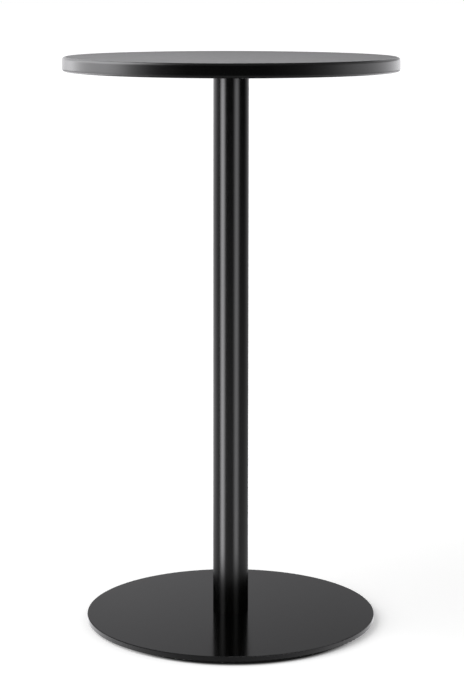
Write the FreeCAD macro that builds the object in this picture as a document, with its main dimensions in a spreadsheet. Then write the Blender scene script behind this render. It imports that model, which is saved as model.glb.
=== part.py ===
# Round pub table: a laminated top on a steel column and a heavy round base plate.
# Millimetres, +Z up, origin on the floor at the column's axis.
import FreeCAD, Part
import math
import os
import Sketcher

# Driving dimensions: sheet alias, value and meaning.
SIZES = [
    ("top_diameter", 596, "tabletop, across the edge band"),
    ("core_thickness", 23.4, "board between the two laminates"),
    ("top_laminate_thickness", 0.8, "laminate on the tabletop"),
    ("back_laminate_thickness", 0.8, "balancing laminate under the board"),
    ("band_thickness", 6, "edge band, measured across"),
    ("band_arris", 5, "rounding of the band's upper and lower edges"),
    ("glue_line", 0.05, "glue between the board and the band"),
    ("insert_diameter", 10, "insert nut, across its ribs"),
    ("insert_length", 13, "insert nut, up into the board"),
    ("insert_rib_count", 5, "ribs along an insert nut"),
    ("insert_rib_depth", 0.9, "insert nut, from rib crest to root"),
    ("plate_diameter", 200, "plate that carries the top"),
    ("plate_thickness", 5, "plate that carries the top"),
    ("plate_chamfer", 1, "plate that carries the top, on both edges"),
    ("plate_screw_inset", 20, "plate's edge to the board screws"),
    ("board_screw_count", 6, "screws between the plate and the board"),
    ("board_screw_diameter", 6, "board screw's thread"),
    ("board_screw_length", 16, "board screw, under its head"),
    ("board_screw_head_diameter", 10.5, "board screw's button head"),
    ("board_screw_head_height", 3.3, "board screw's button head"),
    ("board_screw_rim", 0.8, "straight side of the button head"),
    ("board_screw_key", 4, "board screw's hexagon, across its flats"),
    ("board_screw_key_depth", 2, "board screw's hexagon"),
    ("washer_diameter", 12, "washer under a board screw"),
    ("washer_thickness", 1.6, "washer under a board screw"),
    ("tube_diameter", 63.5, "column's outside"),
    ("tube_wall", 2, "column's wall"),
    ("column_length", 975, "column, from the base to the top plate"),
    ("plug_thickness", 18, "tapped plugs welded into the column's ends"),
    ("plug_clearance", 0.1, "plug to the column's wall"),
    ("frame_screw_count", 4, "countersunk screws at each end of the column"),
    ("frame_screw_inset", 12, "column's inner wall to the frame screws"),
    ("frame_screw_diameter", 8, "frame screw's thread"),
    ("frame_screw_head_diameter", 16, "frame screw's countersunk head"),
    ("frame_screw_land", 0.4, "straight side of the countersunk head"),
    ("frame_screw_recess", 0.2, "countersunk head below its plate's face"),
    ("frame_screw_key", 5, "frame screw's hexagon, across its flats"),
    ("frame_screw_key_depth", 3, "frame screw's hexagon"),
    ("head_screw_length", 20, "frame screw at the column's head"),
    ("base_screw_length", 25, "frame screw at the column's foot"),
    ("screw_tip", 0.8, "chamfer at the tip of every screw and stud"),
    ("screw_clearance", 0.3, "screw to a plain hole, all round"),
    ("thread_clearance", 0.1, "screw to a tapped hole, all round"),
    ("tap_chamfer", 0.6, "lead-in of a tapped hole"),
    ("base_diameter", 520, "base plate"),
    ("base_thickness", 10, "base plate"),
    ("base_edge", 1.5, "rounding of the base plate's edges"),
    ("base_skin", 1.5, "steel left above a glide's tapped hole"),
    ("glide_count", 4, "levelling glides under the base"),
    ("glide_angle", 45, "first glide, in degrees from +X"),
    ("glide_inset", 40, "base plate's edge to a glide's axis"),
    ("pad_diameter", 34, "glide's foot"),
    ("pad_edge", 0.6, "rounding of the foot's edges"),
    ("pad_floor", 1.4, "foot below the stud's flange"),
    ("pad_lip", 1.6, "foot above the stud's flange"),
    ("stud_diameter", 8, "glide stud's thread"),
    ("stud_flange_diameter", 18, "flange held in the foot"),
    ("stud_flange_thickness", 1.6, "flange held in the foot"),
    ("stud_end_gap", 1, "stud's tip to the end of its hole"),
    ("stud_key", 4, "glide stud's hexagon, across its flats"),
    ("stud_key_depth", 4, "glide stud's hexagon"),
    ("key_clearance", 0.7, "hexagon key to the hole in the foot"),
    ("running_clearance", 0.2, "stud to the foot that turns on it"),
]

# Heights and radii that several pieces share.
PAD_HEIGHT = "(sizes.pad_floor + sizes.stud_flange_thickness + 2 * sizes.running_clearance + sizes.pad_lip)"
BASE_TOP = f"({PAD_HEIGHT} + sizes.base_thickness)"
COLUMN_TOP = f"({BASE_TOP} + sizes.column_length)"
BOARD_BOTTOM = f"({COLUMN_TOP} + sizes.plate_thickness)"
CORE_BOTTOM = f"({BOARD_BOTTOM} + sizes.back_laminate_thickness)"
CORE_TOP = f"({CORE_BOTTOM} + sizes.core_thickness)"
BOARD_THICKNESS = "(sizes.back_laminate_thickness + sizes.core_thickness + sizes.top_laminate_thickness)"
BOARD_RADIUS = "(sizes.top_diameter / 2 - sizes.band_thickness - sizes.glue_line)"
BOARD_SCREW_CIRCLE = "(sizes.plate_diameter / 2 - sizes.plate_screw_inset)"
TUBE_BORE_RADIUS = "(sizes.tube_diameter / 2 - sizes.tube_wall)"
PLUG_RADIUS = f"({TUBE_BORE_RADIUS} - sizes.plug_clearance)"
FRAME_SCREW_CIRCLE = f"({TUBE_BORE_RADIUS} - sizes.frame_screw_inset)"
FRAME_TAP_RADIUS = "(sizes.frame_screw_diameter / 2 + sizes.thread_clearance)"
GLIDE_CIRCLE = "(sizes.base_diameter / 2 - sizes.glide_inset)"
GLIDE_HOLE_DEPTH = "(sizes.base_thickness - sizes.base_skin)"

# The most of a wall's thickness that roundings may take, on one edge or on each of two.
ONE_EDGE_SHARE = 0.9
TWO_EDGE_SHARE = 0.4
FULL_TURN = 360
AXIS_LINE_LENGTH = 10

doc = FreeCAD.newDocument("pub_table")
sheet = doc.addObject("Spreadsheet::Sheet", "sizes")
pieces = []


def fill_sheet():
    for row, (alias, number, meaning) in enumerate(SIZES, start=1):
        sheet.set(f"A{row}", meaning)
        sheet.set(f"B{row}", str(number))
        sheet.setAlias(f"B{row}", alias)
    doc.recompute()


def value(expression):
    return float(sheet.evalExpression(expression))


def start_piece(label, height):
    """A new piece, drawn from its own zero level, which lies at the given height."""
    body = doc.addObject("PartDesign::Body", label)
    body.Label = label
    body.setExpression("Placement.Base.z", height)
    pieces.append(body)
    return body


def origin_feature(body, role):
    return next(feature for feature in body.Origin.OriginFeatures if feature.Role == role)


def start_sketch(body, name, plane):
    sketch = body.newObject("Sketcher::SketchObject", name)
    sketch.AttachmentSupport = [(origin_feature(body, plane), "")]
    sketch.MapMode = "FlatFace"
    return sketch


def bind(sketch, constraint, expression):
    index = sketch.addConstraint(constraint)
    sketch.setExpression(f"Constraints[{index}]", expression)


def round_edge(start, end, radius):
    """The arc of a rounded corner, turning anticlockwise from start to end."""
    chord = end - start
    rise = math.sqrt(max(radius ** 2 - chord.Length ** 2 / 4, 0))
    to_centre = FreeCAD.Vector(-chord.y, chord.x, 0).normalize() * rise
    centre = start + chord * 0.5 + to_centre
    first = math.atan2(start.y - centre.y, start.x - centre.x)
    last = math.atan2(end.y - centre.y, end.x - centre.x)
    return Part.ArcOfCircle(Part.Circle(centre, FreeCAD.Vector(0, 0, 1), radius), first, last)


def draw_outline(body, name, plane, corners, axis=None):
    """A closed outline, anticlockwise. A corner's third value, where it has one, is the radius of the
    arc to the next corner. The axis is the distance of a line to turn the outline about."""
    sketch = start_sketch(body, name, plane)
    places = [FreeCAD.Vector(value(corner[0]), value(corner[1]), 0) for corner in corners]
    for index, corner in enumerate(corners):
        start, end = places[index], places[(index + 1) % len(places)]
        if len(corner) == 3:
            sketch.addGeometry(round_edge(start, end, value(corner[2])), False)
        else:
            sketch.addGeometry(Part.LineSegment(start, end), False)
    for index, corner in enumerate(corners):
        following = (index + 1) % len(corners)
        sketch.addConstraint(Sketcher.Constraint("Coincident", index, 2, following, 1))
        bind(sketch, Sketcher.Constraint("DistanceX", -1, 1, index, 1, places[index].x), corner[0])
        bind(sketch, Sketcher.Constraint("DistanceY", -1, 1, index, 1, places[index].y), corner[1])
        if len(corner) == 3:
            bind(sketch, Sketcher.Constraint("Radius", index, value(corner[2])), corner[2])
    if axis:
        foot = FreeCAD.Vector(value(axis), 0, 0)
        head = foot + FreeCAD.Vector(0, AXIS_LINE_LENGTH, 0)
        line = sketch.addGeometry(Part.LineSegment(foot, head), True)
        sketch.addConstraint(Sketcher.Constraint("PointOnObject", line, 1, -1))
        sketch.addConstraint(Sketcher.Constraint("Vertical", line))
        sketch.addConstraint(Sketcher.Constraint("DistanceY", line, 1, line, 2, AXIS_LINE_LENGTH))
        bind(sketch, Sketcher.Constraint("DistanceX", -1, 1, line, 1, foot.x), axis)
    return sketch


def draw_circles(body, name, radii, centre=None):
    """Circles about the piece's axis, or about a centre of its own."""
    sketch = start_sketch(body, name, "XY_Plane")
    place = FreeCAD.Vector(0, 0, 0)
    if centre:
        place = FreeCAD.Vector(value(centre[0]), value(centre[1]), 0)
    for index, radius in enumerate(radii):
        sketch.addGeometry(Part.Circle(place, FreeCAD.Vector(0, 0, 1), value(radius)), False)
        bind(sketch, Sketcher.Constraint("Radius", index, value(radius)), radius)
        if centre:
            bind(sketch, Sketcher.Constraint("DistanceX", -1, 1, index, 3, place.x), centre[0])
            bind(sketch, Sketcher.Constraint("DistanceY", -1, 1, index, 3, place.y), centre[1])
        else:
            sketch.addConstraint(Sketcher.Constraint("Coincident", index, 3, -1, 1))
    return sketch


def expect_cut(feature):
    doc.recompute()
    if feature.Shape.Volume >= feature.BaseFeature.Shape.Volume:
        raise ValueError(f"{feature.Name} cuts nothing away")


def turn(body, name, corners, axis=None, kind="PartDesign::Revolution"):
    """A turned solid from its half outline: distance from the axis, then height."""
    sketch = draw_outline(body, f"{name}_outline", "XZ_Plane", corners, axis)
    doc.recompute()
    feature = body.newObject(kind, name)
    feature.Profile = sketch
    feature.ReferenceAxis = (sketch, ["Axis0" if axis else "V_Axis"])
    feature.Angle = FULL_TURN
    doc.recompute()
    return feature


def turned_cut(body, name, corners, axis):
    feature = turn(body, name, corners, axis, "PartDesign::Groove")
    expect_cut(feature)
    return feature


def extrude(body, name, sketch, length):
    doc.recompute()
    feature = body.newObject("PartDesign::Pad", name)
    feature.Profile = sketch
    feature.setExpression("Length", length)
    doc.recompute()
    return feature


def cut_from_zero(body, name, sketch, depth, upward):
    """A pocket from the piece's zero level, upwards or downwards."""
    doc.recompute()
    feature = body.newObject("PartDesign::Pocket", name)
    feature.Profile = sketch
    feature.setExpression("Length", depth)
    feature.Reversed = upward
    expect_cut(feature)
    return feature


def repeat_around(body, features, count):
    """The features again, evenly spaced about the table's axis."""
    pattern = body.newObject("PartDesign::PolarPattern", f"{body.Name}_ring_of_{features[0].Name}")
    pattern.Originals = features
    pattern.Axis = (origin_feature(body, "Z_Axis"), [""])
    pattern.Angle = FULL_TURN
    pattern.setExpression("Occurrences", count)
    body.Tip = pattern
    doc.recompute()


def hexagon(across_flats, centre):
    corner_radius = f"{across_flats} / sqrt(3)"
    return [
        (f"{centre} + {corner_radius} * cos({angle})", f"{corner_radius} * sin({angle})")
        for angle in range(0, FULL_TURN, FULL_TURN // 6)
    ]


def hexagon_socket(body, across_flats, depth, centre, upward):
    sketch = draw_outline(body, f"{body.Name}_hexagon", "XY_Plane", hexagon(across_flats, centre))
    return cut_from_zero(body, f"{body.Name}_socket", sketch, depth, upward)


def in_order(corners, upward):
    """Corners listed upwards are anticlockwise, and the same corners hung downwards are listed back."""
    return corners if upward else corners[::-1]


def make_disc(label, height, radius, thickness):
    body = start_piece(label, height)
    extrude(body, f"{label}_disc", draw_circles(body, f"{label}_circle", [radius]), thickness)
    return body


def insert_hole(body, depth):
    """A ring of holes for the insert nuts, from the piece's lower face."""
    radius = "(sizes.insert_diameter / 2 + sizes.thread_clearance)"
    sketch = draw_circles(body, f"{body.Name}_hole_circle", [radius], (BOARD_SCREW_CIRCLE, "0"))
    hole = cut_from_zero(body, f"{body.Name}_hole", sketch, depth, upward=True)
    repeat_around(body, [hole], "sizes.board_screw_count")


def make_board():
    core = make_disc("tabletop_core", CORE_BOTTOM, BOARD_RADIUS, "sizes.core_thickness")
    screw_reach = "(sizes.board_screw_length - sizes.washer_thickness - sizes.plate_thickness)"
    deepest = f"max(sizes.insert_length; {screw_reach})"
    insert_hole(core, f"{deepest} - sizes.back_laminate_thickness + sizes.thread_clearance")
    back = make_disc("back_laminate", BOARD_BOTTOM, BOARD_RADIUS, "sizes.back_laminate_thickness")
    insert_hole(back, "sizes.back_laminate_thickness")
    make_disc("top_laminate", CORE_TOP, BOARD_RADIUS, "sizes.top_laminate_thickness")


def make_edge_band():
    band = start_piece("edge_band", BOARD_BOTTOM)
    inner = "(sizes.top_diameter / 2 - sizes.band_thickness)"
    outer = "(sizes.top_diameter / 2)"
    arris = f"min(sizes.band_arris; {ONE_EDGE_SHARE} * sizes.band_thickness)"
    turn(band, "band", [
        (inner, "0"),
        (f"{outer} - {arris}", "0", arris),
        (outer, arris),
        (outer, f"{BOARD_THICKNESS} - {arris}", arris),
        (f"{outer} - {arris}", BOARD_THICKNESS),
        (inner, BOARD_THICKNESS),
    ])


def make_insert_nuts():
    nuts = start_piece("insert_nuts", BOARD_BOTTOM)
    centre = BOARD_SCREW_CIRCLE
    bore = f"{centre} + sizes.board_screw_diameter / 2 + sizes.thread_clearance"
    crest = f"{centre} + sizes.insert_diameter / 2"
    root = f"{crest} - sizes.insert_rib_depth"
    pitch = "sizes.insert_length / sizes.insert_rib_count"
    corners = [(bore, "0"), (root, "0")]
    for rib in range(int(value("sizes.insert_rib_count"))):
        corners.append((crest, f"{pitch} * ({rib} + 0.5)"))
        corners.append((root, f"{pitch} * ({rib} + 1)"))
    corners.append((bore, "sizes.insert_length"))
    nut = turn(nuts, "nut", corners, centre)
    repeat_around(nuts, [nut], "sizes.board_screw_count")


def make_board_screws():
    screws = start_piece("top_plate_screws",
                         f"{COLUMN_TOP} - sizes.washer_thickness - sizes.board_screw_head_height")
    centre = BOARD_SCREW_CIRCLE
    shank = f"{centre} + sizes.board_screw_diameter / 2"
    rim = f"{centre} + sizes.board_screw_head_diameter / 2"
    dome = "(sizes.board_screw_head_height - sizes.board_screw_rim)"
    under_head = "sizes.board_screw_head_height"
    tip = f"({under_head} + sizes.board_screw_length)"
    screw = turn(screws, "button_screw", [
        (centre, "0"),
        (f"{rim} - {dome}", "0", dome),
        (rim, dome),
        (rim, under_head),
        (shank, under_head),
        (shank, f"{tip} - sizes.screw_tip"),
        (f"{shank} - sizes.screw_tip", tip),
        (centre, tip),
    ], centre)
    key, key_depth = "sizes.board_screw_key", "sizes.board_screw_key_depth"
    socket = hexagon_socket(screws, key, key_depth, centre, upward=True)
    repeat_around(screws, [screw, socket], "sizes.board_screw_count")


def make_washers():
    washers = start_piece("top_plate_washers", f"{COLUMN_TOP} - sizes.washer_thickness")
    bore = "(sizes.board_screw_diameter / 2 + sizes.screw_clearance)"
    radii = ["sizes.washer_diameter / 2", bore]
    rings = draw_circles(washers, "washer_circles", radii, (BOARD_SCREW_CIRCLE, "0"))
    washer = extrude(washers, "washer", rings, "sizes.washer_thickness")
    repeat_around(washers, [washer], "sizes.board_screw_count")


def countersunk_hole(body, name, thickness, upward):
    """Holes for the frame screws, whose heads enter at the lower face or, where not upward, at the upper."""
    face, inward = ("0", "+") if upward else (thickness, "-")
    far_face = thickness if upward else "0"
    centre = FRAME_SCREW_CIRCLE
    head = f"{centre} + sizes.frame_screw_head_diameter / 2 + sizes.thread_clearance"
    shank = f"{centre} + sizes.frame_screw_diameter / 2 + sizes.screw_clearance"
    seat = f"{face} {inward} (sizes.frame_screw_recess + sizes.frame_screw_land)"
    hole = turned_cut(body, name, in_order([
        (centre, face),
        (head, face),
        (head, seat),
        (shank, f"{seat} {inward} ({head} - ({shank}))"),
        (shank, far_face),
        (centre, far_face),
    ], upward), centre)
    repeat_around(body, [hole], "sizes.frame_screw_count")


def make_top_plate():
    plate = start_piece("top_plate", COLUMN_TOP)
    edge = "(sizes.plate_diameter / 2)"
    chamfer = "sizes.plate_chamfer"
    turn(plate, "plate_disc", [
        ("0", "0"),
        (f"{edge} - {chamfer}", "0"),
        (edge, chamfer),
        (edge, f"sizes.plate_thickness - {chamfer}"),
        (f"{edge} - {chamfer}", "sizes.plate_thickness"),
        ("0", "sizes.plate_thickness"),
    ])
    radius = "(sizes.board_screw_diameter / 2 + sizes.screw_clearance)"
    circle = draw_circles(plate, "board_screw_circle", [radius], (BOARD_SCREW_CIRCLE, "0"))
    hole = cut_from_zero(plate, "board_screw_hole", circle, "sizes.plate_thickness", upward=True)
    repeat_around(plate, [hole], "sizes.board_screw_count")
    countersunk_hole(plate, "head_screw_hole", "sizes.plate_thickness", upward=False)


def make_column_tube():
    tube = start_piece("column_tube", BASE_TOP)
    rings = draw_circles(tube, "tube_circles", ["sizes.tube_diameter / 2", TUBE_BORE_RADIUS])
    extrude(tube, "tube", rings, "sizes.column_length")


def make_plug(label, height, mating_thickness, upward):
    """A tapped plug flush with an end of the column. The screws enter from below where upward."""
    plug = make_disc(label, height, PLUG_RADIUS, "sizes.plug_thickness")
    face, inward = ("0", "+") if upward else ("sizes.plug_thickness", "-")
    far_face = "sizes.plug_thickness" if upward else "0"
    centre = FRAME_SCREW_CIRCLE
    head_past_plate = ("sizes.frame_screw_head_diameter / 2 + sizes.thread_clearance"
                       f" + sizes.frame_screw_recess + sizes.frame_screw_land - {mating_thickness}")
    mouth = f"max({FRAME_TAP_RADIUS} + sizes.tap_chamfer; {head_past_plate})"
    hole = turned_cut(plug, f"{label}_hole", in_order([
        (centre, face),
        (f"{centre} + {mouth}", face),
        (f"{centre} + {FRAME_TAP_RADIUS}", f"{face} {inward} ({mouth} - {FRAME_TAP_RADIUS})"),
        (f"{centre} + {FRAME_TAP_RADIUS}", far_face),
        (centre, far_face),
    ], upward), centre)
    repeat_around(plug, [hole], "sizes.frame_screw_count")


def make_frame_screws(label, height, length, upward):
    """Countersunk screws with their heads at the zero level and their shanks above or below it."""
    screws = start_piece(label, height)
    inward = "+" if upward else "-"
    centre = FRAME_SCREW_CIRCLE
    head = f"{centre} + sizes.frame_screw_head_diameter / 2"
    shank = f"{centre} + sizes.frame_screw_diameter / 2"
    cone = "(sizes.frame_screw_head_diameter / 2 - sizes.frame_screw_diameter / 2)"
    screw = turn(screws, f"{label}_turned", in_order([
        (centre, "0"),
        (head, "0"),
        (head, f"0 {inward} sizes.frame_screw_land"),
        (shank, f"0 {inward} (sizes.frame_screw_land + {cone})"),
        (shank, f"0 {inward} ({length} - sizes.screw_tip)"),
        (f"{shank} - sizes.screw_tip", f"0 {inward} {length}"),
        (centre, f"0 {inward} {length}"),
    ], upward), centre)
    key, key_depth = "sizes.frame_screw_key", "sizes.frame_screw_key_depth"
    socket = hexagon_socket(screws, key, key_depth, centre, upward)
    repeat_around(screws, [screw, socket], "sizes.frame_screw_count")


def make_base_plate():
    base = start_piece("base_plate", PAD_HEIGHT)
    rim = "(sizes.base_diameter / 2)"
    edge = f"min(sizes.base_edge; {TWO_EDGE_SHARE} * sizes.base_thickness)"
    turn(base, "base_disc", [
        ("0", "0"),
        (f"{rim} - {edge}", "0", edge),
        (rim, edge),
        (rim, f"sizes.base_thickness - {edge}", edge),
        (f"{rim} - {edge}", "sizes.base_thickness"),
        ("0", "sizes.base_thickness"),
    ])
    countersunk_hole(base, "base_screw_hole", "sizes.base_thickness", upward=True)
    radius = "(sizes.stud_diameter / 2 + sizes.thread_clearance)"
    circle = draw_circles(base, "glide_circle", [radius], glide_place(0))
    hole = cut_from_zero(base, "glide_hole", circle, GLIDE_HOLE_DEPTH, upward=True)
    repeat_around(base, [hole], "sizes.glide_count")


def glide_place(index):
    angle = f"(sizes.glide_angle + {index} * {FULL_TURN} / sizes.glide_count)"
    return f"{GLIDE_CIRCLE} * cos({angle})", f"{GLIDE_CIRCLE} * sin({angle})"


def move_to_glide(body, index):
    across, along = glide_place(index)
    body.setExpression("Placement.Base.x", across)
    body.setExpression("Placement.Base.y", along)


def make_glide_pad(index):
    pad = start_piece(f"glide_pad_{index + 1}", "0")
    rim = "(sizes.pad_diameter / 2)"
    edge = f"min(sizes.pad_edge; {TWO_EDGE_SHARE} * {PAD_HEIGHT})"
    key_hole = "(sizes.stud_key / sqrt(3) + sizes.key_clearance)"
    cavity = "(sizes.stud_flange_diameter / 2 + sizes.running_clearance)"
    neck = "(sizes.stud_diameter / 2 + sizes.running_clearance)"
    under_lip = f"{PAD_HEIGHT} - sizes.pad_lip"
    turn(pad, f"pad_{index + 1}", [
        (key_hole, "0"),
        (f"{rim} - {edge}", "0", edge),
        (rim, edge),
        (rim, f"{PAD_HEIGHT} - {edge}", edge),
        (f"{rim} - {edge}", PAD_HEIGHT),
        (neck, PAD_HEIGHT),
        (neck, under_lip),
        (cavity, under_lip),
        (cavity, "sizes.pad_floor"),
        (key_hole, "sizes.pad_floor"),
    ])
    move_to_glide(pad, index)


def make_glide_stud(index):
    flange_bottom = "(sizes.pad_floor + sizes.running_clearance)"
    stud = start_piece(f"glide_stud_{index + 1}", flange_bottom)
    flange = "(sizes.stud_flange_diameter / 2)"
    shank = "(sizes.stud_diameter / 2)"
    tip = f"({PAD_HEIGHT} - {flange_bottom} + {GLIDE_HOLE_DEPTH} - sizes.stud_end_gap)"
    turn(stud, f"stud_{index + 1}", [
        ("0", "0"),
        (flange, "0"),
        (flange, "sizes.stud_flange_thickness"),
        (shank, "sizes.stud_flange_thickness"),
        (shank, f"{tip} - sizes.screw_tip"),
        (f"{shank} - sizes.screw_tip", tip),
        ("0", tip),
    ])
    hexagon_socket(stud, "sizes.stud_key", "sizes.stud_key_depth", "0", upward=True)
    move_to_glide(stud, index)


def check_document():
    doc.recompute()
    for item in doc.Objects:
        if "Invalid" in item.State or "Error" in item.State:
            raise ValueError(f"{item.Label} failed: {item.getStatusString()}")
    for piece in pieces:
        if piece.Shape.isNull() or not piece.Shape.isValid() or not piece.Shape.Solids:
            raise ValueError(f"{piece.Label} has no valid shape")


def write_parts():
    os.makedirs("parts", exist_ok=True)
    for piece in pieces:
        piece.Shape.exportStep(f"parts/{piece.Label}.step")
        print(f"{piece.Label}: {len(piece.Shape.Solids)} solids, {piece.Shape.Volume:.1f} mm3")


def main():
    fill_sheet()
    make_board()
    make_edge_band()
    make_insert_nuts()
    make_top_plate()
    make_washers()
    make_board_screws()
    make_column_tube()
    make_plug("head_plug", f"{COLUMN_TOP} - sizes.plug_thickness", "sizes.plate_thickness", upward=False)
    make_plug("foot_plug", BASE_TOP, "sizes.base_thickness", upward=True)
    make_frame_screws("head_screws", f"{BOARD_BOTTOM} - sizes.frame_screw_recess",
                      "sizes.head_screw_length", upward=False)
    make_frame_screws("base_screws", f"{PAD_HEIGHT} + sizes.frame_screw_recess",
                      "sizes.base_screw_length", upward=True)
    make_base_plate()
    for index in range(int(value("sizes.glide_count"))):
        make_glide_pad(index)
        make_glide_stud(index)
    check_document()
    write_parts()


main()
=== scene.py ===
"""A round pub table in a plain white studio: its finishes, its turned pieces, the light and the camera."""
import math

import bpy
from mathutils import Euler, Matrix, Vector


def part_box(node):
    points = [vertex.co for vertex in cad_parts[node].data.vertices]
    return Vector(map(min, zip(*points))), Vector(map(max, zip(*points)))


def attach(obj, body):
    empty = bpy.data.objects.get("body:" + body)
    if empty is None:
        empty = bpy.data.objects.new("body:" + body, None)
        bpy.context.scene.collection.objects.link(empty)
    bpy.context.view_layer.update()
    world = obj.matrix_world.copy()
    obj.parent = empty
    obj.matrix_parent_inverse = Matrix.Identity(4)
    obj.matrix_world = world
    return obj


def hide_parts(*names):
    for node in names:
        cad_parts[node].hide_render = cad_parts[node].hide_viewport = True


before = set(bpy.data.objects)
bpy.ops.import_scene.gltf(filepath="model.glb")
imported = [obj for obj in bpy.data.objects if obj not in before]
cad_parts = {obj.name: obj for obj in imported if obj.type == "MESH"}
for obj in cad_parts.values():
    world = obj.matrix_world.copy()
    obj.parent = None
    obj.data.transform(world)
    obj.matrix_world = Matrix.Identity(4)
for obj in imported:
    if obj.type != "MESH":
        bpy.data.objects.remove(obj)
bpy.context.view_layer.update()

# Lengths are in metres and angles in degrees. An azimuth is seen from above: 0 is towards the camera (-Y),
# and a positive one turns to the camera's right (+X).

# Turned pieces
TOP_SIDES = 360
COLUMN_SIDES = 144
ARC_STEPS = 10
EDGE_HOLD = 0.00012
SHARP_ANGLE = 35.0
LAMINATE_EDGE_ROUNDING = 0.0002
BAND_ARRIS = 0.005
BAND_INNER_ROUNDING = 0.00025
BAND_THICKNESS = 0.006
FACING_DOWN = -0.999
TUBE_WALL = 0.002
TUBE_END_ROUNDING = 0.0005

# Finishes: the stretch of a noise's range over which a colour or a roughness changes, and roughnesses
WIDE_MIX = (0.3, 0.7)
NARROW_MIX = (0.35, 0.65)
CHIP_MIX = (0.1, 0.9)
MICRONS_PER_METRE = 1e6
BASE_COAT_ROUGHNESS = 0.14
TUBE_COAT_ROUGHNESS = 0.2
COAT_VARIATION = 0.01

# Camera, from the photograph's perspective
CAMERA_PLACE = (0.0017, -3.608, 1.152)
CAMERA_PITCH = -6.4
CAMERA_ROLL = 0.07
CAMERA_LENS_MM = 104.86
CAMERA_SHIFT_Y = -0.2

# Floor, world and lamps
FLOOR_SIZE = 200.0
FLOOR_COLOUR = 0.95
FLOOR_LIFT = 0.305
# Painted shade on the floor: inside a disc under the base, set off towards its front, the floor's colour is
# painted dark and its lift stops.
PAINTED_SHADE_FLOOR_COLOUR = 0.2
PAINTED_SHADE_INSET = 0.0335
PAINTED_SHADE_OFFSET = 0.034
PAINTED_SHADE_AZIMUTH = 9.0
PAINTED_SHADE_FADE = 0.012
AMBIENT_STRENGTH = 0.44
WHITE_STRENGTH = 1.0
CARD_COLOUR = (0.995, 0.99, 1.015, 1.0)
KEY_AZIMUTH = -72.0
KEY_ELEVATION = 38.0
KEY_SPREAD = 60.0
KEY_STRENGTH = 1.95

# Reflection cards: looks are the shares of a card's light in a first mirror, and in the mirror image of a
# second one. Cards that overlap lie at radii or heights of their own.
EVEN = ((0.0, 1.0), (1.0, 1.0))
EVERY_LOOK = (1.0, 1.0)
FIRST_LOOK = (1.0, 0.0)
SECOND_LOOK = (0.0, 1.0)
STRIP_LOOKS = (1.0, 0.22)
WALL_LOOKS = (1.0, 0.1)
CARD_STEP = 3.0
DISC_STEP = 10
FULL_TURN = 360
ROUND_FROM_BACK = (-180, 180)
ROUND_FROM_FRONT = (0, 360)
CEILING_HEIGHT = 2.6
SKIRTING_HEIGHT = -1.1
PIT_HEIGHT = -2.2
ROOM_RADIUS = 4.0
DISC_RADIUS = 8.5
STRIP_RADIUS = 0.28
STRIP_HEIGHTS = (0.0, 0.985)
STRIP_FADE = ((0.0, 0.04), (0.06, 1.0))
FOOT_RADIUS = 0.3
FOOT_HEIGHTS = (0.0, 0.3)
WALL_HEIGHTS = (PIT_HEIGHT, 1.6)
PANEL_RADIUS = 0.6
PANEL_FOOT = 0.92
LEANING_RADIUS = 0.33
LEANING_FLARE = 0.27


# Mesh helpers

def rounded_outline(corners):
    """The points, in order, of an outline with (radius, height, rounding) corners."""
    points = []
    count = len(corners)
    for index, (radius, height, rounding) in enumerate(corners):
        corner = Vector((radius, height))
        if rounding == 0:
            points.append(corner)
            continue
        before = (Vector(corners[index - 1][:2]) - corner).normalized()
        after = (Vector(corners[(index + 1) % count][:2]) - corner).normalized()
        half_angle = before.angle(after) / 2
        reach = rounding / math.tan(half_angle)
        centre = corner + (before + after).normalized() * (rounding / math.sin(half_angle))
        first = corner + before * reach - centre
        sweep = first.angle_signed(corner + after * reach - centre)
        points.append(corner + before * (reach + EDGE_HOLD))
        for step in range(ARC_STEPS + 1):
            turn = sweep * step / ARC_STEPS
            cosine = math.cos(turn)
            sine = math.sin(turn)
            spoke = Vector((first.x * cosine + first.y * sine, first.y * cosine - first.x * sine))
            points.append(centre + spoke)
        points.append(corner + after * (reach + EDGE_HOLD))
    return points


def turned_mesh(name, outline, sides, closed):
    """A mesh turned round Z from an outline, which runs from axis to axis or, if closed, to its start."""
    vertices = []
    rings = []
    for point in outline:
        on_axis = point.x == 0
        start = len(vertices)
        for side in range(1 if on_axis else sides):
            angle = 2 * math.pi * side / sides
            vertices.append((point.x * math.cos(angle), point.x * math.sin(angle), point.y))
        rings.append([start] * sides if on_axis else list(range(start, start + sides)))
    faces = []
    spans = len(rings) if closed else len(rings) - 1
    for span in range(spans):
        lower = rings[span]
        upper = rings[(span + 1) % len(rings)]
        for side in range(sides):
            following = (side + 1) % sides
            loop = [lower[side], lower[following], upper[following], upper[side]]
            faces.append(list(dict.fromkeys(loop)))
    mesh = bpy.data.meshes.new(name)
    mesh.from_pydata(vertices, [], faces)
    mesh.validate()
    mesh.shade_smooth()
    mesh.set_sharp_from_angle(angle=math.radians(SHARP_ANGLE))
    return mesh


def add_object(name, mesh, finish):
    """Puts a mesh in the scene with one material."""
    mesh.materials.append(finish)
    piece = bpy.data.objects.new(name, mesh)
    bpy.context.scene.collection.objects.link(piece)
    return piece


def polar(radius, azimuth, height):
    """The point at a radius and azimuth round the column's axis."""
    angle = math.radians(azimuth)
    return (radius * math.sin(angle), -radius * math.cos(angle), height)


# Material helpers

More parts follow.
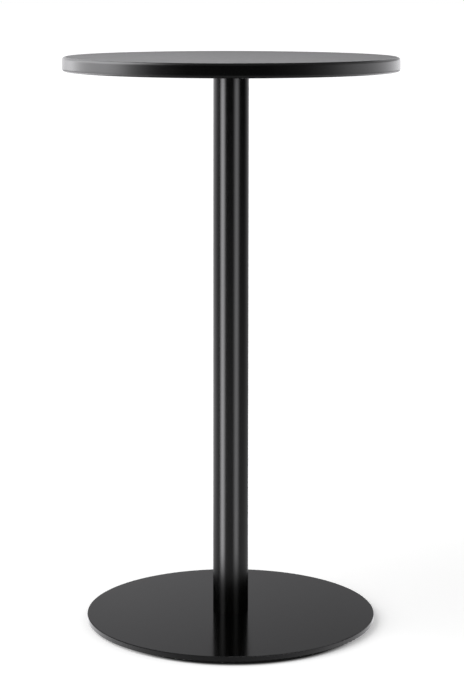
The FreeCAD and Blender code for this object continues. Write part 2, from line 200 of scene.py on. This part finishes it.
class Finish:
    """A material with one Principled shader, and short ways to add procedural detail to it."""

    def __init__(self, name, roughness, metallic=0.0):
        self.material = bpy.data.materials.new(name)
        self.material.use_nodes = True
        self.nodes = self.material.node_tree.nodes
        self.links = self.material.node_tree.links
        self.shader = self.nodes["Principled BSDF"]
        self.shader.inputs["Roughness"].default_value = roughness
        self.shader.inputs["Metallic"].default_value = metallic
        self.place = self.nodes.new("ShaderNodeTexCoord").outputs["Object"]

    def stretched(self, scale):
        """Object coordinates scaled by a different factor along each axis."""
        mapping = self.nodes.new("ShaderNodeMapping")
        mapping.inputs["Scale"].default_value = scale
        self.links.new(self.place, mapping.inputs["Vector"])
        return mapping.outputs["Vector"]

    def noise(self, per_metre, detail, place=None):
        """Smooth noise with about this many features in a metre, or in a unit of a given place."""
        texture = self.nodes.new("ShaderNodeTexNoise")
        texture.inputs["Scale"].default_value = per_metre
        texture.inputs["Detail"].default_value = detail
        self.links.new(place or self.place, texture.inputs["Vector"])
        return texture.outputs["Fac"]

    def cells(self, per_metre):
        """Flat cells of random value, with about this many in a metre."""
        texture = self.nodes.new("ShaderNodeTexVoronoi")
        texture.inputs["Scale"].default_value = per_metre
        self.links.new(self.place, texture.inputs["Vector"])
        return texture.outputs["Color"]

    def colours(self, amount, dark, light, mix=WIDE_MIX):
        """Base colour that runs from dark to light while an amount runs through a mix range."""
        ramp = self.nodes.new("ShaderNodeValToRGB")
        for element, position, colour in zip(ramp.color_ramp.elements, mix, (dark, light)):
            element.position = position
            element.color = (*colour, 1.0)
        self.links.new(amount, ramp.inputs["Fac"])
        self.links.new(ramp.outputs["Color"], self.shader.inputs["Base Color"])

    def roughness(self, amount, low, high):
        """Roughness that runs from low to high with an amount."""
        spread = self.nodes.new("ShaderNodeMapRange")
        spread.inputs["From Min"].default_value = WIDE_MIX[0]
        spread.inputs["From Max"].default_value = WIDE_MIX[1]
        spread.inputs["To Min"].default_value = low
        spread.inputs["To Max"].default_value = high
        self.links.new(amount, spread.inputs["Value"])
        self.links.new(spread.outputs["Result"], self.shader.inputs["Roughness"])

    def relief(self, height, microns):
        """Fine relief of a depth in thousandths of a millimetre."""
        bump = self.nodes.new("ShaderNodeBump")
        bump.inputs["Strength"].default_value = 1.0
        bump.inputs["Distance"].default_value = microns / MICRONS_PER_METRE
        self.links.new(height, bump.inputs["Height"])
        self.links.new(bump.outputs["Normal"], self.shader.inputs["Normal"])


def grey(level):
    """A neutral colour."""
    return (level, level, level)


# Finishes

def powder_coat(name, roughness):
    """Smooth black powder coat with a faint orange peel."""
    finish = Finish(name, roughness)
    finish.colours(finish.noise(per_metre=260, detail=3), grey(0.0005), grey(0.0009), NARROW_MIX)
    cloud = finish.noise(per_metre=30, detail=3)
    finish.roughness(cloud, low=roughness - COAT_VARIATION, high=roughness + COAT_VARIATION)
    finish.relief(finish.noise(per_metre=330, detail=1), microns=1)
    return finish.material


def band_plastic():
    """Satin black plastic band, drawn lengthwise, with faint lines along its length."""
    finish = Finish("band_plastic", roughness=0.24)
    finish.colours(finish.noise(per_metre=400, detail=3), grey(0.0006), grey(0.0011), NARROW_MIX)
    along = finish.stretched((12, 12, 1600))
    finish.roughness(finish.noise(per_metre=1, detail=2, place=along), low=0.23, high=0.25)
    finish.relief(finish.noise(per_metre=1800, detail=2), microns=0.4)
    return finish.material


def trimmed_plastic():
    """The band's lower face, scraped flush with the board and left dull."""
    finish = Finish("trimmed_plastic", roughness=0.6)
    finish.colours(finish.noise(per_metre=600, detail=3), grey(0.006), grey(0.010))
    finish.roughness(finish.noise(per_metre=500, detail=3), low=0.56, high=0.66)
    finish.relief(finish.noise(per_metre=900, detail=4), microns=20)
    return finish.material


def top_laminate():
    """Matte black laminate with a fine pressed grain."""
    finish = Finish("black_laminate", roughness=0.5)
    finish.colours(finish.noise(per_metre=900, detail=4), grey(0.006), grey(0.011))
    finish.roughness(finish.noise(per_metre=90, detail=3), low=0.49, high=0.53)
    finish.relief(finish.noise(per_metre=1400, detail=3), microns=6)
    return finish.material


def backing_laminate():
    """Plain dark backing sheet with a dull paper grain."""
    finish = Finish("backing_sheet", roughness=0.6)
    finish.colours(finish.noise(per_metre=160, detail=5), (0.010, 0.009, 0.008), (0.017, 0.015, 0.013))
    finish.roughness(finish.noise(per_metre=60, detail=4), low=0.55, high=0.68)
    finish.relief(finish.noise(per_metre=700, detail=4), microns=20)
    return finish.material


def particle_board():
    """Pressed wood chips."""
    finish = Finish("particle_board", roughness=0.8)
    finish.colours(finish.cells(per_metre=420), (0.24, 0.15, 0.08), (0.52, 0.38, 0.23), CHIP_MIX)
    finish.relief(finish.noise(per_metre=500, detail=5), microns=200)
    return finish.material


def turned_steel():
    """Bare steel with fine turning marks."""
    finish = Finish("turned_steel", roughness=0.3, metallic=1.0)
    finish.colours(finish.noise(per_metre=80, detail=4), grey(0.42), grey(0.52))
    finish.roughness(finish.noise(per_metre=220, detail=4), low=0.25, high=0.4)
    marks = finish.stretched((120, 120, 3500))
    finish.relief(finish.noise(per_metre=1, detail=2, place=marks), microns=10)
    return finish.material


def zinc_plate():
    """Bright zinc plating with a cloudy bloom."""
    finish = Finish("zinc_plate", roughness=0.3, metallic=1.0)
    finish.colours(finish.noise(per_metre=300, detail=4), (0.52, 0.53, 0.54), (0.66, 0.66, 0.65))
    finish.roughness(finish.noise(per_metre=420, detail=4), low=0.24, high=0.4)
    finish.relief(finish.noise(per_metre=2200, detail=3), microns=4)
    return finish.material


def black_oxide():
    """Oiled black oxide on the plate screws and washers."""
    finish = Finish("black_oxide", roughness=0.42, metallic=1.0)
    finish.colours(finish.noise(per_metre=500, detail=4), grey(0.030), (0.048, 0.047, 0.045))
    finish.roughness(finish.noise(per_metre=600, detail=4), low=0.36, high=0.5)
    finish.relief(finish.noise(per_metre=2400, detail=3), microns=4)
    return finish.material


def moulded_nylon():
    """Black moulded nylon with a fine spark grain."""
    finish = Finish("moulded_nylon", roughness=0.5)
    finish.colours(finish.noise(per_metre=700, detail=4), grey(0.008), grey(0.014))
    finish.roughness(finish.noise(per_metre=900, detail=3), low=0.45, high=0.58)
    finish.relief(finish.noise(per_metre=2600, detail=3), microns=10)
    return finish.material


def make_finishes():
    """The material of each slot in the record, and those of the tube and the band's lower face."""
    return {
        "laminate": top_laminate(),
        "backing_laminate": backing_laminate(),
        "edge_band": band_plastic(),
        "trimmed_band": trimmed_plastic(),
        "board_core": particle_board(),
        "powder_coat": powder_coat("powder_coat", BASE_COAT_ROUGHNESS),
        "tube_coat": powder_coat("tube_coat", TUBE_COAT_ROUGHNESS),
        "bare_steel": turned_steel(),
        "zinc_steel": zinc_plate(),
        "black_steel": black_oxide(),
        "nylon": moulded_nylon(),
    }


# Pieces

def stand_in(piece, node):
    """Makes a modelled piece stand for a fixed node of the table."""
    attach(piece, "table")
    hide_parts(node)
    return piece


def make_laminate(finishes):
    """The laminate disc, with the fine bevel that is filed along its edge."""
    low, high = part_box("top_laminate")
    outline = rounded_outline([
        (0, low.z, 0),
        (high.x, low.z, 0),
        (high.x, high.z, LAMINATE_EDGE_ROUNDING),
        (0, high.z, 0),
    ])
    mesh = turned_mesh("laminate_sheet", outline, TOP_SIDES, closed=False)
    return stand_in(add_object("laminate_sheet", mesh, finishes["laminate"]), "top_laminate")


def make_band(finishes):
    """The edge band, with rounded arrises outside and a hairline bevel against the laminate."""
    low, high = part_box("edge_band")
    inner = high.x - BAND_THICKNESS
    outline = rounded_outline([
        (inner, low.z, 0),
        (high.x, low.z, BAND_ARRIS),
        (high.x, high.z, BAND_ARRIS),
        (inner, high.z, BAND_INNER_ROUNDING),
    ])
    mesh = turned_mesh("rounded_band", outline, TOP_SIDES, closed=True)
    piece = add_object("rounded_band", mesh, finishes["edge_band"])
    mesh.materials.append(finishes["trimmed_band"])
    for face in mesh.polygons:
        if face.normal.z < FACING_DOWN:
            face.material_index = 1
    return stand_in(piece, "edge_band")


def make_column(finishes):
    """The tube, open at both ends, with its cut edges broken."""
    low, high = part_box("column_tube")
    inner = high.x - TUBE_WALL
    outline = rounded_outline([
        (inner, low.z, 0),
        (high.x, low.z, TUBE_END_ROUNDING),
        (high.x, high.z, TUBE_END_ROUNDING),
        (inner, high.z, 0),
    ])
    mesh = turned_mesh("coated_tube", outline, COLUMN_SIDES, closed=True)
    return stand_in(add_object("coated_tube", mesh, finishes["tube_coat"]), "column_tube")


def finish_nodes(finishes):
    """Gives every node of the frame the finish of its slot."""
    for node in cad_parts.values():
        for index, plain in enumerate(node.data.materials):
            node.data.materials[index] = finishes[plain.name]


# Studio

def seen_by_eye(nodes, links):
    """A factor that is 1 for camera, glossy and transmission rays, and 0 for other light."""
    path = nodes.new("ShaderNodeLightPath")
    total = path.outputs["Is Camera Ray"]
    for other in ("Is Glossy Ray", "Is Transmission Ray"):
        both = nodes.new("ShaderNodeMath")
        both.operation = "MAXIMUM"
        links.new(total, both.inputs[0])
        links.new(path.outputs[other], both.inputs[1])
        total = both.outputs["Value"]
    return total


def make_world():
    """White to look at, and a plain even light on the object."""
    world = bpy.data.worlds.new("studio")
    world.use_nodes = True
    bpy.context.scene.world = world
    nodes = world.node_tree.nodes
    links = world.node_tree.links
    ambient = nodes["Background"]
    ambient.inputs["Color"].default_value = (1, 1, 1, 1)
    ambient.inputs["Strength"].default_value = AMBIENT_STRENGTH
    white = nodes.new("ShaderNodeBackground")
    white.inputs["Color"].default_value = (1, 1, 1, 1)
    white.inputs["Strength"].default_value = WHITE_STRENGTH
    mix = nodes.new("ShaderNodeMixShader")
    links.new(seen_by_eye(nodes, links), mix.inputs["Fac"])
    links.new(ambient.outputs["Background"], mix.inputs[1])
    links.new(white.outputs["Background"], mix.inputs[2])
    links.new(mix.outputs["Shader"], nodes["World Output"].inputs["Surface"])


def floor_finish():
    """Pale matte floor, lifted a little towards white where it is seen, with painted shade in a disc under
    the base that reaches its front edge: there the colour is painted dark and the lift stops.
    """
    material = bpy.data.materials.new("pale_floor")
    material.use_nodes = True
    nodes = material.node_tree.nodes
    links = material.node_tree.links
    nodes.remove(nodes["Principled BSDF"])
    # Painted shade: the distance from the centre of the shade disc, which is set off from the column's axis
    # towards the front.
    from_painted_shade = nodes.new("ShaderNodeVectorMath")
    from_painted_shade.operation = "DISTANCE"
    from_painted_shade.inputs[1].default_value = polar(PAINTED_SHADE_OFFSET, PAINTED_SHADE_AZIMUTH, 0)
    links.new(nodes.new("ShaderNodeTexCoord").outputs["Object"], from_painted_shade.inputs[0])
    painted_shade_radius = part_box("base_plate")[1].x - PAINTED_SHADE_INSET
    outside_painted_shade = nodes.new("ShaderNodeMapRange")
    outside_painted_shade.inputs["From Min"].default_value = painted_shade_radius - PAINTED_SHADE_FADE / 2
    outside_painted_shade.inputs["From Max"].default_value = painted_shade_radius + PAINTED_SHADE_FADE / 2
    links.new(from_painted_shade.outputs["Value"], outside_painted_shade.inputs["Value"])
    # The floor's colour, painted darker inside the shade disc.
    pale = nodes.new("ShaderNodeMapRange")
    pale.inputs["To Min"].default_value = PAINTED_SHADE_FLOOR_COLOUR
    pale.inputs["To Max"].default_value = FLOOR_COLOUR
    links.new(outside_painted_shade.outputs["Result"], pale.inputs["Value"])
    matte = nodes.new("ShaderNodeBsdfDiffuse")
    links.new(pale.outputs["Result"], matte.inputs["Color"])
    seen = nodes.new("ShaderNodeMath")
    seen.operation = "MULTIPLY"
    seen.inputs[1].default_value = FLOOR_LIFT
    links.new(seen_by_eye(nodes, links), seen.inputs[0])
    # The lift, withheld inside the shade disc as part of the painted shade.
    lift = nodes.new("ShaderNodeMath")
    lift.operation = "MULTIPLY"
    links.new(seen.outputs["Value"], lift.inputs[0])
    links.new(outside_painted_shade.outputs["Result"], lift.inputs[1])
    glow = nodes.new("ShaderNodeEmission")
    links.new(lift.outputs["Value"], glow.inputs["Strength"])
    both = nodes.new("ShaderNodeAddShader")
    links.new(matte.outputs["BSDF"], both.inputs[0])
    links.new(glow.outputs["Emission"], both.inputs[1])
    links.new(both.outputs["Shader"], nodes["Material Output"].inputs["Surface"])
    return material


def make_floor():
    """A floor that runs past every view's horizon. It stays out of reflections, where the cards stand."""
    half = FLOOR_SIZE / 2
    mesh = bpy.data.meshes.new("floor")
    corners = [(-half, -half, 0), (half, -half, 0), (half, half, 0), (-half, half, 0)]
    mesh.from_pydata(corners, [], [(0, 1, 2, 3)])
    floor = add_object("floor", mesh, floor_finish())
    floor.visible_glossy = False


def ramp_along(nodes, links, coordinate, stops):
    """A brightness that follows (position, level) stops along a coordinate."""
    ramp = nodes.new("ShaderNodeValToRGB")
    elements = ramp.color_ramp.elements
    while len(elements) < len(stops):
        elements.new(1.0)
    for element, (position, level) in zip(elements, stops):
        element.position = position
        element.color = (*grey(level), 1)
    links.new(coordinate, ramp.inputs["Fac"])
    return ramp.outputs["Color"]


def card_glow(name, peak, across, up, looks, see_through):
    """Light of a card: peak brightness, shaded by stops across its width and up its height.

    Looks are the shares of that light in a first mirror, and in the mirror image of a second one."""
    material = bpy.data.materials.new(name)
    material.use_nodes = True
    nodes = material.node_tree.nodes
    links = material.node_tree.links
    nodes.remove(nodes["Principled BSDF"])
    place = nodes.new("ShaderNodeSeparateXYZ")
    links.new(nodes.new("ShaderNodeTexCoord").outputs["UV"], place.inputs["Vector"])
    level = nodes.new("ShaderNodeMath")
    level.operation = "MULTIPLY"
    links.new(ramp_along(nodes, links, place.outputs["X"], across), level.inputs[0])
    links.new(ramp_along(nodes, links, place.outputs["Y"], up), level.inputs[1])
    look = nodes.new("ShaderNodeMapRange")
    look.inputs["From Min"].default_value = 1
    look.inputs["From Max"].default_value = 2
    look.inputs["To Min"].default_value = peak * looks[0]
    look.inputs["To Max"].default_value = peak * looks[1]
    links.new(nodes.new("ShaderNodeLightPath").outputs["Ray Depth"], look.inputs["Value"])
    strength = nodes.new("ShaderNodeMath")
    strength.operation = "MULTIPLY"
    links.new(level.outputs["Value"], strength.inputs[0])
    links.new(look.outputs["Result"], strength.inputs[1])
    glow = nodes.new("ShaderNodeEmission")
    glow.inputs["Color"].default_value = CARD_COLOUR
    links.new(strength.outputs["Value"], glow.inputs["Strength"])
    surface = glow.outputs["Emission"]
    if see_through:
        both = nodes.new("ShaderNodeAddShader")
        links.new(surface, both.inputs[0])
        links.new(nodes.new("ShaderNodeBsdfTransparent").outputs["BSDF"], both.inputs[1])
        surface = both.outputs["Shader"]
    links.new(surface, nodes["Material Output"].inputs["Surface"])
    return material


def hang_card(name, mesh, glow, on):
    """Puts a card in the scene for reflections alone, and for those of one piece alone if it is given."""
    card = add_object(name, mesh, glow)
    card.visible_camera = False
    card.visible_diffuse = False
    card.visible_transmission = False
    card.visible_volume_scatter = False
    card.visible_shadow = False
    if on is not None:
        receivers = bpy.data.collections.new(name + "_receivers")
        receivers.objects.link(on)
        card.light_linking.receiver_collection = receivers


def make_card(name, radius, azimuths, heights, peak, across=EVEN, up=EVEN, on=None, looks=EVERY_LOOK,
              flare=0.0):
    """A reflection card bent round the column's axis at a radius, upright unless its upper edge flares out.

    A card on one piece alone is see-through, so the rest of the table looks past it."""
    steps = math.ceil((azimuths[1] - azimuths[0]) / CARD_STEP)
    vertices = []
    places = []
    for step in range(steps + 1):
        share = step / steps
        azimuth = azimuths[0] + share * (azimuths[1] - azimuths[0])
        for rise, height in enumerate(heights):
            vertices.append(polar(radius + rise * flare, azimuth, height))
            places.append((share, rise))
    faces = [(2 * step, 2 * step + 2, 2 * step + 3, 2 * step + 1) for step in range(steps)]
    mesh = bpy.data.meshes.new(name)
    mesh.from_pydata(vertices, [], faces)
    layer = mesh.uv_layers.new(name="card")
    for loop in mesh.loops:
        layer.data[loop.index].uv = places[loop.vertex_index]
    hang_card(name, mesh, card_glow(name, peak, across, up, looks, see_through=on is not None), on)


def make_disc(name, radius, height, level, on=None):
    """A round reflection card that lies flat."""
    mesh = bpy.data.meshes.new(name)
    rim = [polar(radius, azimuth, height) for azimuth in range(0, FULL_TURN, DISC_STEP)]
    mesh.from_pydata(rim, [], [list(range(len(rim)))])
    mesh.uv_layers.new(name="card")
    hang_card(name, mesh, card_glow(name, level, EVEN, EVEN, EVERY_LOOK, see_through=on is not None), on)


def make_room():
    """What the whole table mirrors: dim walls, paler towards the floor, and a dim ceiling."""
    make_disc("ceiling", DISC_RADIUS, CEILING_HEIGHT, level=0.25)
    make_disc("pit", DISC_RADIUS, PIT_HEIGHT, level=0.08)
    make_card("walls", ROOM_RADIUS, ROUND_FROM_BACK, (SKIRTING_HEIGHT, CEILING_HEIGHT), peak=0.45,
              up=((0.0, 1.0), (0.07, 1.0), (0.3, 0.42), (0.52, 0.06), (0.61, 0.04)))
    make_card("floor_glow", ROOM_RADIUS, ROUND_FROM_BACK, (PIT_HEIGHT, SKIRTING_HEIGHT), peak=1.05,
              across=((0.267, 1.0), (0.406, 0.6), (0.501, 0.4), (0.6, 0.7), (0.713, 1.0)),
              up=((0.0, 1.0), (0.7, 1.0), (1.0, 0.42)))


def light_column(column, base):
    """Upright strips, which draw the column's highlights, and side walls, which draw its edges.

    Some strips also have a foot, which draws the strip in the column's mirror image on the base."""
    strips = (
        {"name": "left_strip", "azimuths": (-73, -32), "core": (0.38, 0.62), "peak": 7.0, "foot_peak": 1.4},
        {"name": "right_strip", "azimuths": (14, 55), "core": (0.4, 0.6), "peak": 2.85, "foot_peak": 0.6},
        {"name": "rear_strip", "azimuths": (155, 185), "core": (0.4, 0.6), "peak": 3.5, "foot_peak": 0.0},
    )
    for strip in strips:
        name = strip["name"]
        azimuths = strip["azimuths"]
        core_start, core_end = strip["core"]
        across = ((0.0, 0.0), (core_start, 1.0), (core_end, 1.0), (1.0, 0.0))
        make_card(name, STRIP_RADIUS, azimuths, STRIP_HEIGHTS, strip["peak"], across, STRIP_FADE,
                  on=column, looks=STRIP_LOOKS)
        if strip["foot_peak"]:
            make_card(name + "_foot", FOOT_RADIUS, azimuths, FOOT_HEIGHTS, strip["foot_peak"], across,
                      on=base, looks=SECOND_LOOK)
    make_card("left_wall", radius=3.9, azimuths=(-180, -84), heights=WALL_HEIGHTS, peak=2.0,
              on=column, looks=WALL_LOOKS,
              across=((0.2, 0.7), (0.44, 0.85), (0.7, 0.75), (0.84, 0.35), (1.0, 0.3)),
              up=((0.3, 0.03), (0.374, 0.3), (0.474, 0.43), (0.684, 0.53), (0.785, 0.8), (0.85, 0.85)))
    make_card("right_wall", radius=3.8, azimuths=(95, 180), heights=WALL_HEIGHTS, peak=0.8,
              on=column, looks=WALL_LOOKS,
              across=((0.0, 0.0), (0.3, 0.6), (0.45, 1.0)),
              up=((0.3, 0.0), (0.474, 0.12), (0.6, 0.45), (0.8, 1.0)))


def light_band(band):
    """Panels at each side of the top, which fade towards its front, and one higher up for its rounding."""
    make_card("left_panel", PANEL_RADIUS, azimuths=(-180, -25), heights=(PANEL_FOOT, 1.9), peak=4.9,
              on=band,
              up=((0.0, 0.0), (0.05, 1.0), (0.124, 1.0), (0.18, 0.58)),
              across=((0.2, 0.28), (0.37, 0.33), (0.468, 0.72), (0.568, 0.62), (0.645, 0.74), (0.71, 0.9),
                      (0.768, 0.77), (0.819, 0.35), (0.868, 0.15), (0.913, 0.04), (1.0, 0.005)))
    make_card("right_panel", PANEL_RADIUS, azimuths=(20, 180), heights=(PANEL_FOOT, 1.3), peak=1.9,
              on=band,
              up=((0.0, 0.0), (0.13, 1.0), (0.342, 1.0), (0.42, 0.4)),
              across=((0.025, 0.02), (0.109, 0.07), (0.199, 0.28), (0.302, 0.76), (0.363, 0.8),
                      (0.436, 0.9), (0.527, 1.0), (0.614, 1.0), (0.68, 0.9), (0.8, 0.75)))
    make_card("left_upper", radius=0.7, azimuths=(-180, -30), heights=(1.05, 1.9), peak=4.2, on=band,
              up=((0.0, 0.3), (0.08, 1.0), (0.8, 1.0), (1.0, 0.6)),
              across=((0.2, 0.0), (0.3, 0.1), (0.447, 0.12), (0.513, 0.5), (0.6, 0.7), (0.687, 1.0),
                      (0.727, 1.0), (0.773, 0.8), (0.833, 0.7), (0.88, 0.3), (0.987, 0.0)))


def light_band_below(band):
    """A dim disc far below, and a leaning card at each side, which the band's lower rounding mirrors."""
    make_disc("below", radius=8.4, height=-2.15, level=0.2, on=band)
    make_card("left_below", LEANING_RADIUS, azimuths=(-180, -25), heights=(0.88, 0.918), peak=3.3,
              on=band, flare=LEANING_FLARE,
              across=((0.194, 0.24), (0.45, 0.42), (0.516, 0.48), (0.594, 0.7), (0.697, 1.0),
                      (0.774, 0.82), (0.806, 0.73), (0.877, 0.27), (0.935, 0.09), (1.0, 0.0)))
    make_card("right_below", LEANING_RADIUS, azimuths=(20, 180), heights=(0.875, 0.913), peak=1.5,
              on=band, flare=LEANING_FLARE,
              across=((0.06, 0.02), (0.156, 0.25), (0.263, 0.75), (0.356, 0.85), (0.438, 0.95),
                      (1.0, 0.75)))


def light_top(top):
    """A pale backdrop all round the tabletop, brighter behind it and higher up."""
    make_card("top_backdrop", radius=1.2, azimuths=ROUND_FROM_FRONT, heights=(1.03, 2.1), peak=5.0, on=top,
              across=((0.28, 0.2), (0.4, 0.68), (0.5, 0.8), (0.6, 1.0), (0.72, 0.5)),
              up=((0.0, 0.0), (0.25, 0.2), (1.0, 1.0)))


def light_base(base):
    """A pale backdrop all round the base, a dim ceiling, and pale floor at each side of its rim."""
    make_card("base_backdrop", radius=3.7, azimuths=ROUND_FROM_FRONT, heights=(0.0, CEILING_HEIGHT),
              peak=0.7, on=base, looks=FIRST_LOOK,
              across=((0.0, 0.8), (0.483, 0.76), (0.517, 1.0), (1.0, 0.8)),
              up=((0.0, 0.2), (0.08, 0.25), (0.38, 0.66), (0.56, 0.38), (0.62, 0.38), (0.75, 0.8),
                  (1.0, 1.0)))
    make_disc("base_ceiling", radius=3.6, height=2.55, level=0.28, on=base)
    make_card("base_sides", radius=3.95, azimuths=ROUND_FROM_BACK, heights=(PIT_HEIGHT, -0.7),
              peak=0.9, on=base, looks=FIRST_LOOK,
              across=((0.19, 1.0), (0.26, 0.67), (0.314, 0.3), (0.386, 0.0), (0.61, 0.0), (0.686, 0.18),
                      (0.742, 0.56), (0.808, 0.56)))


def make_key_lamp():
    """A broad soft lamp on the left, which draws the shadow to the right and not into the reflections."""
    lamp = bpy.data.lights.new("key", "SUN")
    lamp.energy = KEY_STRENGTH
    lamp.angle = math.radians(KEY_SPREAD)
    key = bpy.data.objects.new("key", lamp)
    bpy.context.scene.collection.objects.link(key)
    rise = math.tan(math.radians(KEY_ELEVATION))
    key.location = polar(1, KEY_AZIMUTH, rise)
    key.rotation_euler = key.location.to_track_quat("Z", "Y").to_euler()
    key.visible_glossy = False


def make_camera():
    """The photograph's view."""
    camera = bpy.data.objects.new("camera", bpy.data.cameras.new("camera"))
    bpy.context.scene.collection.objects.link(camera)
    camera.location = CAMERA_PLACE
    tilt = Euler((math.radians(90 + CAMERA_PITCH), 0, 0)).to_matrix()
    roll = Euler((0, 0, math.radians(CAMERA_ROLL))).to_matrix()
    camera.rotation_euler = (tilt @ roll).to_euler()
    camera.data.lens = CAMERA_LENS_MM
    camera.data.shift_y = CAMERA_SHIFT_Y
    bpy.context.scene.camera = camera


def main():
    finishes = make_finishes()
    finish_nodes(finishes)
    top = make_laminate(finishes)
    band = make_band(finishes)
    column = make_column(finishes)
    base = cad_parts["base_plate"]
    make_world()
    make_floor()
    make_room()
    light_column(column, base)
    light_band(band)
    light_band_below(band)
    light_top(top)
    light_base(base)
    make_key_lamp()
    make_camera()
    bpy.context.scene.view_settings.view_transform = "Standard"


main()
